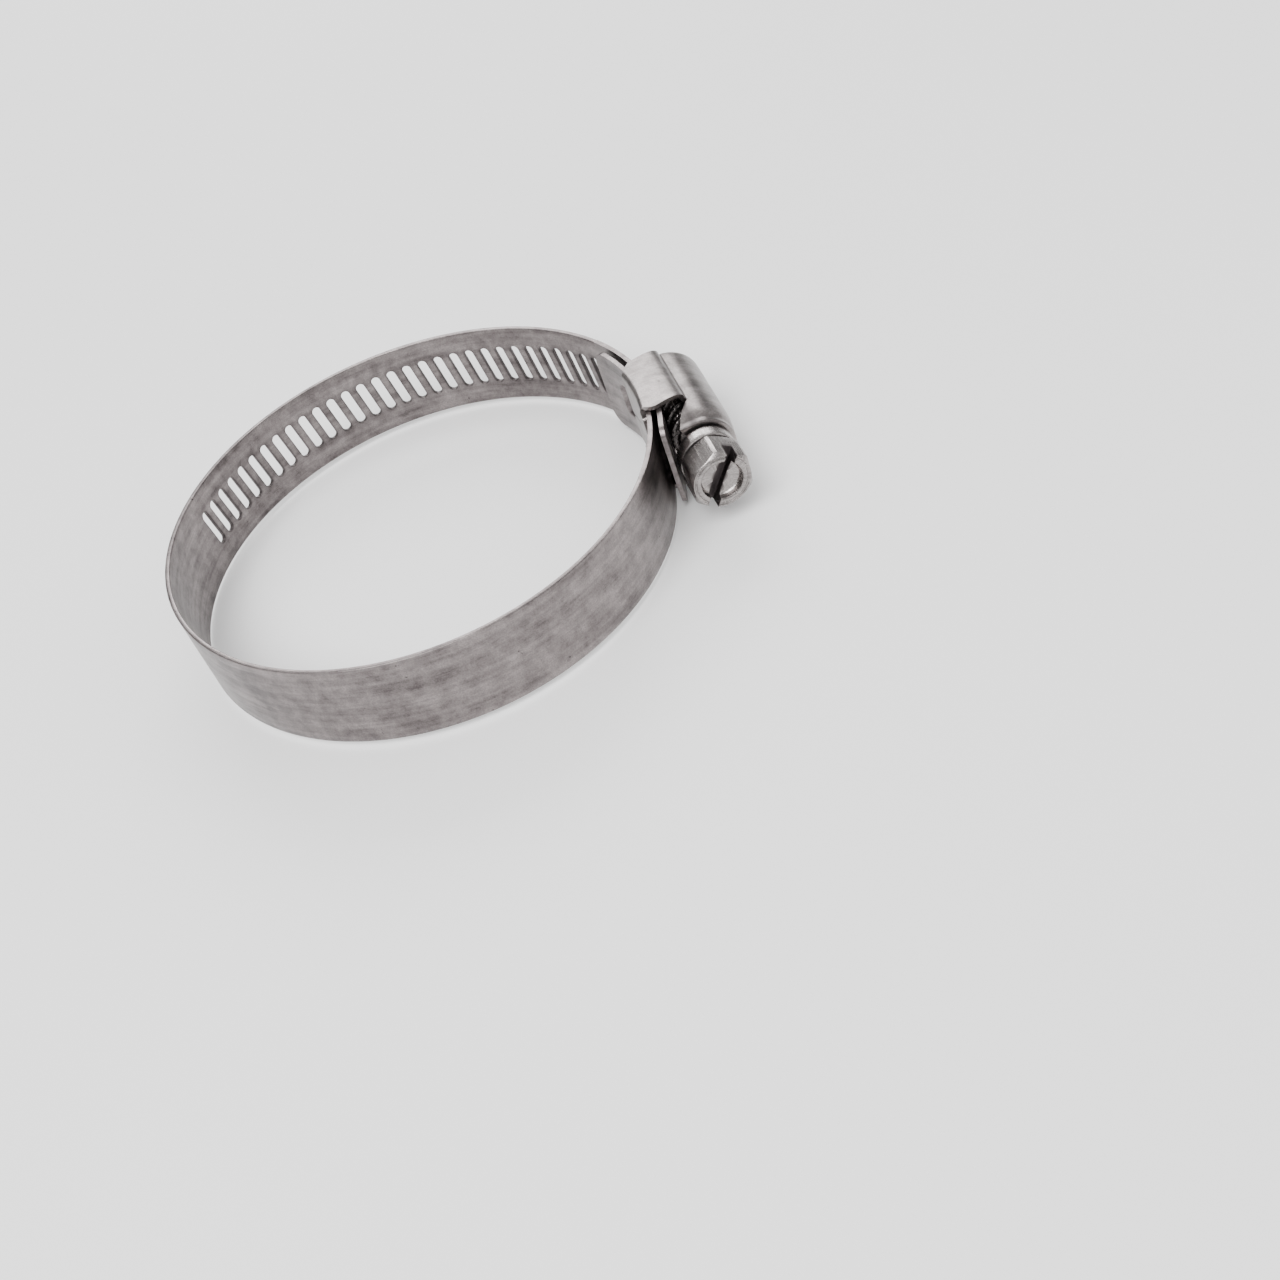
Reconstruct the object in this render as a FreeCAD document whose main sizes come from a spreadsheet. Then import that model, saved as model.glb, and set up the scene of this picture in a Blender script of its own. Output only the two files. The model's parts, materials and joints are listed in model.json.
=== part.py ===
"""Worm-drive hose clamp, half-inch perforated band, in millimetres.

The hose's axis is Z. The housing sits at +X and the screw runs along Y with its head at -Y.
The band starts under the housing, leaves it towards -Y, runs clockwise round the ring (seen from
above), comes back over its own first layer, passes under the worm and ends in a free tail.

The real band is one springy strip. Here it is cut into short rigid lengths that are hinged at
their inner face, so that the ring can close as the screw turns.

Every piece is drawn about the centre of the band's spiral. The largest hose that the ring takes
is centred a little to one side of it, because the folded tabs reach inside the band, so the
pieces are moved out by that much at the end.
"""

import FreeCAD, Part
import math
import os
import Sketcher

from FreeCAD import Placement, Rotation, Vector

doc = FreeCAD.newDocument("hose_clamp")
sheet = doc.addObject("Spreadsheet::Sheet", "Dimensions")

DIMENSIONS = {
    # band
    "band_width": 12.7,
    "band_thick": 0.65,
    "ring_radius": 33.6,  # inner face of the first layer, under the housing
    "layer_rise": 1.45,  # how much further out the band runs after one turn
    "hose_offset": 0.66,  # from the hose's axis to the centre of the band's spiral
    "hinge_gap": 0.03,  # saw cut between two lengths of band
    "liner_length": 14.0,  # first layer behind the housing's centre
    "start_length": 11.0,  # first layer ahead of the housing's centre
    "liner_corner": 2.4,
    "slot_pitch": 2.54,
    "slot_width": 1.35,
    "slot_length": 6.3,
    "slot_slant": 8.0,
    "link_slots": 6,  # pitches in one length of band
    "tail_exit": 8.0,  # where the tail leaves the ring's curve
    "tail_reach": 11.0,
    "tail_corner": 1.5,
    # step pressed into the first layer, which carries the second one
    "step_depth": 0.6,
    "step_back": 8.8,
    "step_front": 9.8,
    "step_inside": 2.6,
    "step_outside": 3.2,
    # housing
    "housing_sheet": 0.7,
    "side_gap": 0.1,
    "tab_gap": 0.05,
    "wing_half": 6.2,
    "tab_half": 4.4,
    "taper_level": 2.4,
    "shoulder_level": 5.3,
    "shoulder_round": 1.5,
    "fold_round": 1.1,
    "axis_height": 5.0,
    "crown_radius": 5.2,
    "hood_head": 9.7,
    "hood_tip": 9.2,
    "skirt_level": 2.7,
    "head_lip": 2.7,
    "tip_lip": 3.5,
    "lip_length": 0.7,
    "seam": 0.12,
    "relief_radius": 0.6,
    "relief_place": 5.2,
    # screw
    "core_radius": 2.4,
    "crest_radius": 3.4,
    "ridge_bury": 0.3,  # how far the ridge's foot reaches into the core
    "ridge_root": 1.0,
    "ridge_crest": 0.4,
    "thread_end": 8.0,
    "tip_reach": 12.2,
    "tip_chamfer": 0.5,
    "collar_radius": 4.1,
    "collar_start": 10.1,
    "collar_end": 12.3,
    "groove_radius": 3.5,
    "hex_start": 12.6,
    "hex_flats": 7.94,
    "hex_turn": 27.0,
    "hex_chamfer": 0.55,
    "hex_corner": 4.45,  # the corners are rounded off at this radius
    "chamfer_flat": 3.92,
    "head_face": 17.4,
    "recess_radius": 2.75,
    "recess_floor": 2.6,
    "recess_depth": 1.1,
    "recess_middle": 1.3,
    "driver_slot": 1.3,
    "driver_depth": 2.3,
    "driver_turn": 57.0,
}

for row, (alias, number) in enumerate(DIMENSIONS.items(), start=1):
    sheet.set(f"A{row}", alias)
    sheet.set(f"B{row}", str(number))
    sheet.setAlias(f"B{row}", alias)
doc.recompute()

TURN = 2 * math.pi
MARGIN = 1  # how far a cutting outline runs past the material that it cuts
NEAR = 1e-3  # how closely an edge's place is matched when it is picked
WING_EDGE_REACH = 0.5  # a folded edge's middle lies this near its corner, because it is curved
PLAIN_LINKS = 7
FIRST_SLOTS = 3  # slots in the length where the perforation starts
PERFORATED_LINKS = 5
TAIL_SLOTS = 7
SLOT_BALANCE = 0.03  # shares the worm's play between the two ends of the screw's travel


def size(alias):
    """A driving dimension's number, in millimetres or degrees."""
    return float(sheet.get(alias))


# ---------------------------------------------------------------- sketches and features


def origin_part(body, role):
    """One of a body's own origin planes or axes."""
    return next(part for part in body.Origin.OriginFeatures if part.Role == role)


def new_sketch(body, name, plane, turn=0.0, about=Vector(0, 1, 0), lift=0.0):
    """A sketch on an origin plane, turned about one of its own axes and lifted along its normal."""
    sketch = body.newObject("Sketcher::SketchObject", name)
    sketch.AttachmentSupport = [(origin_part(body, plane), "")]
    sketch.MapMode = "FlatFace"
    sketch.AttachmentOffset = Placement(Vector(0, 0, lift), Rotation(about, turn))
    return sketch


def bind(sketch, constraint, expression):
    """Add a constraint with a value and tie the value to the sheet."""
    index = sketch.addConstraint(constraint)
    sketch.setExpression(f"Constraints[{index}]", expression)


def place_point(sketch, line, end, across, up):
    """Hold a line's end at expressions across and up; a leading minus puts it on the far side."""
    for kind, axis_line, expression in (("DistanceX", -2, across), ("DistanceY", -1, up)):
        if expression == "0":
            sketch.addConstraint(Sketcher.Constraint("PointOnObject", line, end, axis_line))
        elif expression.startswith("-"):
            bind(sketch, Sketcher.Constraint(kind, line, end, -1, 1, 1.0), expression[1:])
        else:
            bind(sketch, Sketcher.Constraint(kind, -1, 1, line, end, 1.0), expression)


def outline(sketch, corners):
    """A closed outline of straight lines through corners, each a pair of expressions."""
    count = len(corners)
    ring = [
        Vector(math.cos(TURN * i / count), math.sin(TURN * i / count), 0)
        for i in range(count)
    ]
    for i in range(count):
        sketch.addGeometry(Part.LineSegment(ring[i], ring[(i + 1) % count]), False)
    for i in range(count):
        sketch.addConstraint(Sketcher.Constraint("Coincident", i, 2, (i + 1) % count, 1))
    for i, (across, up) in enumerate(corners):
        place_point(sketch, i, 1, across, up)


def box_outline(sketch, low, high, half):
    """A rectangle from low to high across, and half each way up."""
    outline(
        sketch,
        [(low, f"-{half}"), (high, f"-{half}"), (high, half), (low, half)],
    )


def circle_outline(sketch, across, up, radius):
    """A circle whose centre and radius are expressions."""
    sketch.addGeometry(Part.Circle(Vector(1, 1, 0), Vector(0, 0, 1), 1.0), False)
    place_point(sketch, 0, 3, across, up)
    bind(sketch, Sketcher.Constraint("Radius", 0, 1.0), radius)


def arch_outline(sketch, low, axis, radius):
    """A half circle on the outer side of axis, with straight legs inward to low."""
    centre, reach = Vector(2, 0, 0), 1.0
    arc = Part.ArcOfCircle(Part.Circle(centre, Vector(0, 0, 1), reach), -math.pi / 2, math.pi / 2)
    sketch.addGeometry(arc, False)
    path = [Vector(2, 1, 0), Vector(1, 1, 0), Vector(1, -1, 0), Vector(2, -1, 0)]
    for start, end in zip(path, path[1:]):
        sketch.addGeometry(Part.LineSegment(start, end), False)
    for first, second in ((0, 1), (1, 2), (2, 3)):
        sketch.addConstraint(Sketcher.Constraint("Coincident", first, 2, second, 1))
    sketch.addConstraint(Sketcher.Constraint("Coincident", 3, 2, 0, 1))
    for line in (1, 3):
        sketch.addConstraint(Sketcher.Constraint("Horizontal", line))
    sketch.addConstraint(Sketcher.Constraint("Vertical", 2))
    for end in (1, 2):
        sketch.addConstraint(Sketcher.Constraint("Vertical", 0, 3, 0, end))
    place_point(sketch, 0, 3, axis, "0")
    bind(sketch, Sketcher.Constraint("Radius", 0, reach), radius)
    bind(sketch, Sketcher.Constraint("DistanceX", -1, 1, 2, 1, 1.0), low)


def slot_outline(sketch):
    """One worm slot: a round-ended slot about the sketch's origin, leaning by the worm's lead."""
    lean = math.radians(90 - size("slot_slant"))
    along = Vector(math.cos(lean), math.sin(lean), 0)
    side = Vector(-along.y, along.x, 0) * size("slot_width") / 2
    reach = along * (size("slot_length") - size("slot_width")) / 2
    radius = size("slot_width") / 2
    up = Vector(0, 0, 1)
    sketch.addGeometry(Part.LineSegment(reach * -1 - side, reach - side), False)
    sketch.addGeometry(Part.LineSegment(reach + side, reach * -1 + side), False)
    sketch.addGeometry(
        Part.ArcOfCircle(Part.Circle(reach, up, radius), lean - math.pi / 2, lean + math.pi / 2),
        False,
    )
    sketch.addGeometry(
        Part.ArcOfCircle(Part.Circle(reach * -1, up, radius), lean + math.pi / 2, lean + 3 * math.pi / 2),
        False,
    )
    sketch.addConstraint(Sketcher.Constraint("Tangent", 0, 2, 2, 1))
    sketch.addConstraint(Sketcher.Constraint("Tangent", 2, 2, 1, 1))
    sketch.addConstraint(Sketcher.Constraint("Tangent", 1, 2, 3, 1))
    sketch.addConstraint(Sketcher.Constraint("Tangent", 3, 2, 0, 1))
    sketch.addConstraint(Sketcher.Constraint("Symmetric", 2, 3, 3, 3, -1, 1))
    bind(sketch, Sketcher.Constraint("Radius", 2, radius), "Dimensions.slot_width / 2")
    bind(
        sketch,
        Sketcher.Constraint("Distance", 2, 3, 3, 3, 2 * reach.Length),
        "Dimensions.slot_length - Dimensions.slot_width",
    )
    bind(sketch, Sketcher.Constraint("Angle", 0, lean), "90 deg - Dimensions.slot_slant * 1 deg")


def new_body(label):
    body = doc.addObject("PartDesign::Body", label)
    body.Label = label
    return body


def feature(body, kind, name, profile, **settings):
    """A PartDesign feature on a sketch, made the body's tip."""
    made = body.newObject(f"PartDesign::{kind}", name)
    made.Profile = profile
    for key, value in settings.items():
        setattr(made, key, value)
    profile.Visibility = False
    body.Tip = made
    doc.recompute()
    return made


def tie(made, **expressions):
    """Tie a feature's properties to the sheet."""
    for key, expression in expressions.items():
        made.setExpression(key, expression)
    doc.recompute()


def pattern(body, kind, name, original, **settings):
    made = body.newObject(f"PartDesign::{kind}", name)
    made.Originals = [original]
    for key, value in settings.items():
        setattr(made, key, value)
    body.Tip = made
    doc.recompute()
    return made


def round_edges(body, name, wanted, radius):
    """Fillet the edges of the body's tip for which wanted(edge) is true."""
    base = body.Tip
    picked = [f"Edge{i}" for i, edge in enumerate(base.Shape.Edges, start=1) if wanted(edge)]
    made = body.newObject("PartDesign::Fillet", name)
    made.Base = (base, picked)
    body.Tip = made
    tie(made, Radius=f"Dimensions.{radius}")
    return made


# ---------------------------------------------------------------- the band's route


def slot_angle(radius):
    """Degrees that one slot pitch takes at an inner radius, measured mid-thickness."""
    return math.degrees(size("slot_pitch") / (radius + size("band_thick") / 2))


class Arc:
    """One length of band: where its arc's centre is, its inner radius and its first angle."""

    def __init__(self, centre, radius, start, sweep):
        self.centre, self.radius, self.start, self.sweep = centre, radius, start, sweep

    def placement(self):
        return Placement(self.centre, Rotation(Vector(0, 0, 1), self.start))


def route():
    """The lengths of band after the first, each tangent to the one before, and the tail's arc."""
    rise = size("layer_rise") / 360
    first = math.degrees(size("start_length") / size("ring_radius"))
    radius, centre, angle = size("ring_radius"), Vector(0, 0, 0), -first
    arcs = []
    for _ in range(PLAIN_LINKS + 1 + PERFORATED_LINKS):
        half = 0.5 * size("link_slots") * slot_angle(size("ring_radius"))
        wider = size("ring_radius") + rise * (half - angle)
        outward = Vector(math.cos(math.radians(angle)), math.sin(math.radians(angle)), 0)
        centre = centre + outward * (radius - wider)
        radius = wider
        sweep = size("link_slots") * slot_angle(radius)
        arcs.append(Arc(centre, radius, angle, sweep))
        angle -= sweep
    outward = Vector(math.cos(math.radians(angle)), math.sin(math.radians(angle)), 0)
    wider = size("ring_radius") + size("layer_rise")
    centre = centre + outward * (radius - wider)
    at_exit = -math.degrees(math.asin(size("tail_exit") / wider)) - 360
    return arcs, Arc(centre, wider, angle, angle - at_exit)


def band_section(sketch, radius):
    """The band's cross-section, standing on its inner radius."""
    box_outline(
        sketch,
        radius,
        f"{radius} + Dimensions.band_thick",
        "Dimensions.band_width / 2",
    )


def short_radial_edge(edge):
    """True for a corner edge that runs through the band's thickness at its side."""
    straight = abs(edge.Length - size("band_thick")) < NEAR and len(edge.Vertexes) == 2
    at_side = all(abs(abs(vertex.Z) - size("band_width") / 2) < NEAR for vertex in edge.Vertexes)
    return straight and at_side


# ---------------------------------------------------------------- the pieces


def make_anchor():
    """The band's first layer, held by the housing, with the step that carries the second layer."""
    body = new_body("band_anchor")
    back = math.degrees(size("liner_length") / size("ring_radius"))
    section = new_sketch(body, "anchor_section", "XZ_Plane", back)
    band_section(section, "Dimensions.ring_radius")
    strip = feature(
        body,
        "Revolution",
        "anchor_strip",
        section,
        ReferenceAxis=(section, ["V_Axis"]),
        Reversed=True,
    )
    tie(
        strip,
        Angle="(Dimensions.liner_length + Dimensions.start_length - Dimensions.hinge_gap / 2)"
        " / Dimensions.ring_radius * 180 / pi",
    )
    round_edges(
        body,
        "liner_corners",
        lambda edge: short_radial_edge(edge) and edge.CenterOfMass.y > 0,
        "liner_corner",
    )
    step_sweep = "(Dimensions.step_back + Dimensions.step_front) / Dimensions.ring_radius * 180 / pi"
    step_back = math.degrees(size("step_back") / size("ring_radius"))
    raised = new_sketch(body, "step_outside", "XZ_Plane", step_back)
    box_outline(
        raised,
        "Dimensions.ring_radius + Dimensions.band_thick / 2",
        "Dimensions.ring_radius + Dimensions.band_thick + Dimensions.step_depth",
        "Dimensions.step_outside",
    )
    platform = feature(
        body, "Revolution", "step_raised", raised, ReferenceAxis=(raised, ["V_Axis"]), Reversed=True
    )
    tie(platform, Angle=step_sweep)
    sunk = new_sketch(body, "step_inside", "XZ_Plane", step_back)
    box_outline(
        sunk,
        "Dimensions.ring_radius - Dimensions.step_depth",
        "Dimensions.ring_radius + Dimensions.step_depth",
        "Dimensions.step_inside",
    )
    pocket = feature(
        body, "Groove", "step_sunk", sunk, ReferenceAxis=(sunk, ["V_Axis"]), Reversed=True
    )
    tie(pocket, Angle=step_sweep)
    return body


def cut_slots(body, angle, step, count):
    """Cut count slots through the band from a local angle on, a step apart, clockwise."""
    mouth = new_sketch(body, "slot", "YZ_Plane", angle)
    slot_outline(mouth)
    cut = feature(
        body, "Pocket", "slot_cut", mouth, Type="Length", Length=2 * size("ring_radius"), Reversed=True
    )
    if count > 1:
        pattern(
            body,
            "PolarPattern",
            "slot_row",
            cut,
            Axis=(origin_part(body, "Z_Axis"), [""]),
            Mode="Extent",
            Angle=step * (count - 1),
            Occurrences=count,
            Reversed=True,
        )
    return mouth


def make_link(label, arc, slots):
    """A length of band whose last slots are cut; its arc's centre is the body's origin."""
    body = new_body(label)
    step = arc.sweep / size("link_slots")
    cut_back = math.degrees(size("hinge_gap") / 2 / arc.radius)
    section = new_sketch(body, "section", "XZ_Plane", -cut_back)
    band_section(section, f"{arc.radius:.6f}")
    strip = feature(
        body, "Revolution", "strip", section, ReferenceAxis=(section, ["V_Axis"]), Reversed=True
    )
    strip.Angle = arc.sweep - 2 * cut_back
    doc.recompute()
    if slots:
        cut_slots(body, -step * (size("link_slots") - slots + 0.5), step, slots)
    body.Placement = arc.placement()
    return body


def make_tail(arc):
    """The last length of band: through the housing on the ring's curve, then a straight tail."""
    body = new_body("band_tail")
    step = slot_angle(arc.radius)
    cut_back = math.degrees(size("hinge_gap") / 2 / arc.radius)
    section = new_sketch(body, "section", "XZ_Plane", -cut_back)
    band_section(section, f"{arc.radius:.6f}")
    strip = feature(
        body, "Revolution", "strip", section, ReferenceAxis=(section, ["V_Axis"]), Reversed=True
    )
    strip.Angle = arc.sweep - cut_back
    doc.recompute()
    end = new_sketch(body, "end_section", "XZ_Plane", -arc.sweep)
    band_section(end, f"{arc.radius:.6f}")
    lean = math.sqrt(1 - (size("tail_exit") / arc.radius) ** 2)
    straight = feature(body, "Pad", "tail_strip", end)
    straight.Length = (size("tail_reach") - size("tail_exit")) / lean
    doc.recompute()
    round_edges(
        body,
        "tail_corners",
        lambda edge: short_radial_edge(edge) and is_tail_end(edge, arc, straight.Length.Value),
        "tail_corner",
    )
    cut_slots(body, -step / 2, step, TAIL_SLOTS)
    body.Placement = arc.placement()
    return body


def is_tail_end(edge, arc, straight_length):
    """True for an edge on the tail's free end, in the tail's own frame."""
    angle = math.radians(-arc.sweep)
    along = Vector(math.sin(angle), -math.cos(angle), 0)
    return abs(edge.CenterOfMass.dot(along) - straight_length) < NEAR


def wing_outline(sketch, low, high, half):
    """Seen from above: an arc of radius low about the ring's axis, closed by a box out to high."""
    reach = math.radians(45)
    sketch.addGeometry(
        Part.ArcOfCircle(Part.Circle(Vector(0, 0, 0), Vector(0, 0, 1), 1.0), -reach, reach), False
    )
    ends = [Vector(math.cos(reach), math.sin(reach), 0), Vector(math.cos(reach), -math.sin(reach), 0)]
    path = [ends[0], Vector(2, ends[0].y, 0), Vector(2, ends[1].y, 0), ends[1]]
    for start, end in zip(path, path[1:]):
        sketch.addGeometry(Part.LineSegment(start, end), False)
    sketch.addConstraint(Sketcher.Constraint("Coincident", 0, 3, -1, 1))
    for first, first_end, second, second_end in ((0, 2, 1, 1), (1, 2, 2, 1), (2, 2, 3, 1), (3, 2, 0, 1)):
        sketch.addConstraint(Sketcher.Constraint("Coincident", first, first_end, second, second_end))
    bind(sketch, Sketcher.Constraint("Radius", 0, 1.0), low)
    place_point(sketch, 2, 1, high, half)
    place_point(sketch, 2, 2, high, f"-({half})")
    for line in (1, 3):
        sketch.addConstraint(Sketcher.Constraint("Horizontal", line))


def runs_along_wing(edge, x_place, side):
    """True for a long housing edge on a side wall, whose middle is at a place along X."""
    centre = edge.CenterOfMass
    at_place = abs(centre.x - x_place) < WING_EDGE_REACH
    at_side = abs(abs(centre.z) - side) < NEAR
    return edge.Length > size("wing_half") and at_place and at_side


def make_housing():
    """The formed cover: a crown over the worm, shoulders, side walls and tabs folded under."""
    body = new_body("housing")
    ring, sheet_name = "Dimensions.ring_radius", "Dimensions.housing_sheet"
    shoulder = f"{ring} + Dimensions.shoulder_level"
    tab_inside = f"{ring} - Dimensions.tab_gap"
    tab_outside = f"{tab_inside} - {sheet_name}"
    inner_width = "Dimensions.band_width + 2 * Dimensions.side_gap"

    outside = new_sketch(body, "outside", "XY_Plane")
    wing_outline(outside, tab_outside, shoulder, "Dimensions.wing_half")
    block = feature(body, "Pad", "wings", outside, SideType="Symmetric")
    tie(block, Length=f"{inner_width} + 2 * {sheet_name}")
    side = size("band_width") / 2 + size("side_gap") + size("housing_sheet")
    top_edge = size("ring_radius") + size("shoulder_level")
    fold_edge = size("ring_radius") - size("tab_gap") - size("housing_sheet")
    round_edges(
        body, "shoulder_rounds", lambda edge: runs_along_wing(edge, top_edge, side), "shoulder_round"
    )
    round_edges(
        body, "fold_rounds", lambda edge: runs_along_wing(edge, fold_edge, side), "fold_round"
    )

    axis = f"{ring} + Dimensions.axis_height"
    hood_length = "Dimensions.hood_head + Dimensions.hood_tip"
    shift = (size("hood_head") - size("hood_tip")) / 2
    crown = new_sketch(body, "crown_arch", "XZ_Plane", lift=shift)
    arch_outline(crown, f"{ring} + Dimensions.skirt_level", axis, "Dimensions.crown_radius")
    tie(feature(body, "Pad", "crown", crown, SideType="Symmetric"), Length=hood_length)

    inside = new_sketch(body, "inside", "XY_Plane")
    wing_outline(inside, tab_inside, f"{shoulder} - {sheet_name}", f"Dimensions.wing_half + {MARGIN}")
    hollow = feature(body, "Pocket", "wings_hollow", inside, SideType="Symmetric", Type="Length")
    tie(hollow, Length=inner_width)

    bore_radius = f"(Dimensions.crown_radius - {sheet_name})"
    bore_length = f"{hood_length} - 2 * Dimensions.lip_length"
    below = f"{ring} + Dimensions.band_thick"
    cavities = (
        ("bore", shift, bore_radius, bore_length),
        (
            "head_mouth",
            size("hood_head") - size("lip_length") / 2,
            "Dimensions.head_lip",
            "2 * Dimensions.lip_length",
        ),
        (
            "tip_mouth",
            size("lip_length") / 2 - size("hood_tip"),
            "Dimensions.tip_lip",
            "2 * Dimensions.lip_length",
        ),
    )
    for name, middle, radius, length in cavities:
        mouth = new_sketch(body, f"{name}_arch", "XZ_Plane", lift=middle)
        arch_outline(mouth, below, axis, radius)
        cut = feature(body, "Pocket", name, mouth, SideType="Symmetric", Type="Length")
        tie(cut, Length=length)

    seam = new_sketch(body, "seam_line", "XZ_Plane")
    box_outline(seam, f"{tab_outside} - {MARGIN}", below, "Dimensions.seam / 2")
    tie(
        feature(body, "Pocket", "seam_cut", seam, SideType="Symmetric", Type="Length"),
        Length="4 * Dimensions.wing_half",
    )

    taper = new_sketch(body, "tab_taper", "XY_Plane")
    outline(
        taper,
        [
            (f"{ring} + Dimensions.taper_level", "Dimensions.wing_half"),
            (tab_outside, "Dimensions.tab_half"),
            (f"{tab_outside} - {MARGIN}", "Dimensions.tab_half"),
            (f"{tab_outside} - {MARGIN}", f"Dimensions.wing_half + {MARGIN}"),
            (f"{ring} + Dimensions.taper_level", f"Dimensions.wing_half + {MARGIN}"),
        ],
    )
    slanted = feature(body, "Pocket", "tab_taper_cut", taper, SideType="Symmetric", Type="Length")
    tie(slanted, Length="2 * Dimensions.band_width")
    pattern(
        body, "Mirrored", "tab_taper_both", slanted, MirrorPlane=(origin_part(body, "XZ_Plane"), [""])
    )

    for sign in (1, -1):
        notch = new_sketch(body, "relief", "YZ_Plane")
        up = "Dimensions.relief_place" if sign > 0 else "-Dimensions.relief_place"
        circle_outline(notch, "Dimensions.tab_half", up, "Dimensions.relief_radius")
        hole = feature(body, "Pocket", "relief_cut", notch, Type="Length", Reversed=True)
        tie(hole, Length="Dimensions.ring_radius + Dimensions.band_thick")
        pattern(
            body, "Mirrored", "relief_pair", hole, MirrorPlane=(origin_part(body, "XZ_Plane"), [""])
        )
    return body


def make_screw(tail_arc):
    """The worm screw: threaded core, collar and slotted hexagon head, along its own Z."""
    body = new_body("worm_screw")
    core = new_sketch(body, "core_profile", "XZ_Plane")
    tip, neck = "Dimensions.tip_reach", "Dimensions.core_radius"
    outline(
        core,
        [
            ("0", f"-{tip}"),
            (neck, f"-{tip}"),
            (neck, "Dimensions.collar_start"),
            ("Dimensions.collar_radius", "Dimensions.collar_start"),
            ("Dimensions.collar_radius", "Dimensions.collar_end"),
            ("Dimensions.groove_radius", "Dimensions.collar_end"),
            ("Dimensions.groove_radius", "Dimensions.hex_start"),
            ("0", "Dimensions.hex_start"),
        ],
    )
    shaft = feature(body, "Revolution", "core", core, ReferenceAxis=(core, ["V_Axis"]))
    shaft.Angle = 360

    hexagon = new_sketch(
        body, "hexagon", "XY_Plane", size("hex_turn"), Vector(0, 0, 1), size("hex_start")
    )
    corner, flat = "Dimensions.hex_flats / sqrt(3)", "Dimensions.hex_flats / 2"
    across = "Dimensions.hex_flats / sqrt(12)"
    outline(
        hexagon,
        [
            (corner, "0"),
            (across, flat),
            (f"-{across}", flat),
            (f"-{corner}", "0"),
            (f"-{across}", f"-{flat}"),
            (across, f"-{flat}"),
        ],
    )
    head = feature(body, "Pad", "head", hexagon)
    tie(head, Length="Dimensions.head_face - Dimensions.hex_start")

    bevel = new_sketch(body, "head_bevel", "XZ_Plane")
    outline(
        bevel,
        [
            ("Dimensions.chamfer_flat", "Dimensions.head_face"),
            ("Dimensions.hex_corner", "Dimensions.head_face - Dimensions.hex_chamfer"),
            ("Dimensions.hex_corner", f"Dimensions.hex_start - {MARGIN}"),
            (f"{corner} + {MARGIN}", f"Dimensions.hex_start - {MARGIN}"),
            (f"{corner} + {MARGIN}", f"Dimensions.head_face + {MARGIN}"),
            ("Dimensions.chamfer_flat", f"Dimensions.head_face + {MARGIN}"),
        ],
    )
    bevelled = feature(body, "Groove", "head_bevelled", bevel, ReferenceAxis=(bevel, ["V_Axis"]))
    bevelled.Angle = 360
    cup = new_sketch(body, "recess_profile", "XZ_Plane")
    outline(
        cup,
        [
            ("0", "Dimensions.head_face - Dimensions.recess_middle"),
            ("Dimensions.recess_floor", "Dimensions.head_face - Dimensions.recess_depth"),
            ("Dimensions.recess_radius", "Dimensions.head_face"),
            ("Dimensions.recess_radius", f"Dimensions.head_face + {MARGIN}"),
            ("0", f"Dimensions.head_face + {MARGIN}"),
        ],
    )
    recess = feature(body, "Groove", "recess", cup, ReferenceAxis=(cup, ["V_Axis"]))
    recess.Angle = 360

    driver = new_sketch(
        body, "driver_slot", "XY_Plane", size("driver_turn"), Vector(0, 0, 1), size("head_face")
    )
    box_outline(driver, "-Dimensions.hex_flats", "Dimensions.hex_flats", "Dimensions.driver_slot / 2")
    slot = feature(body, "Pocket", "driver_slot_cut", driver, Type="Length")
    tie(slot, Length="Dimensions.driver_depth")

    ridge_middle = thread_start(tail_arc)
    ridge = new_sketch(body, "ridge_profile", "XZ_Plane")
    ridge.AttachmentOffset = Placement(Vector(0, ridge_middle, 0), Rotation())
    inside = f"{neck} - Dimensions.ridge_bury"
    root, crest = "Dimensions.ridge_root / 2", "Dimensions.ridge_crest / 2"
    outline(
        ridge,
        [
            (inside, f"-{root}"),
            (neck, f"-{root}"),
            ("Dimensions.crest_radius", f"-{crest}"),
            ("Dimensions.crest_radius", crest),
            (neck, root),
            (inside, root),
        ],
    )
    thread = feature(
        body,
        "AdditiveHelix",
        "thread",
        ridge,
        ReferenceAxis=(origin_part(body, "Z_Axis"), [""]),
        Mode="pitch-height-angle",
        Pitch=size("slot_pitch"),
        Height=size("thread_end") - ridge_middle,
        LeftHanded=False,
    )
    tie(thread, Pitch="Dimensions.slot_pitch")
    point = new_sketch(body, "point_bevel", "XZ_Plane")
    flat, wide = f"{neck} - Dimensions.tip_chamfer", f"Dimensions.crest_radius + {MARGIN}"
    outline(
        point,
        [
            (flat, f"-{tip}"),
            (wide, f"-({tip} - ({wide}) + ({flat}))"),
            (wide, f"-({tip} + {MARGIN})"),
            (flat, f"-({tip} + {MARGIN})"),
        ],
    )
    bevelled_point = feature(
        body, "Groove", "point_bevelled", point, ReferenceAxis=(point, ["V_Axis"])
    )
    bevelled_point.Angle = 360
    body.Placement = Placement(
        Vector(size("ring_radius") + size("axis_height"), 0, 0), Rotation(Vector(1, 0, 0), 90)
    )
    return body


def thread_start(tail_arc):
    """Where the ridge starts along the screw, so that it lies in the slots on the band's side."""
    pitch = size("slot_pitch")
    to_middle = math.asin(
        (tail_arc.centre.y + tail_arc.radius * math.sin(math.radians(tail_arc.start)))
        / tail_arc.radius
    ) * (tail_arc.radius + size("band_thick") / 2)
    slot_place = (pitch / 2 - to_middle) % pitch + SLOT_BALANCE
    back = math.ceil((size("tip_reach") - MARGIN + slot_place - pitch / 2) / pitch)
    return slot_place + pitch / 2 - back * pitch


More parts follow.
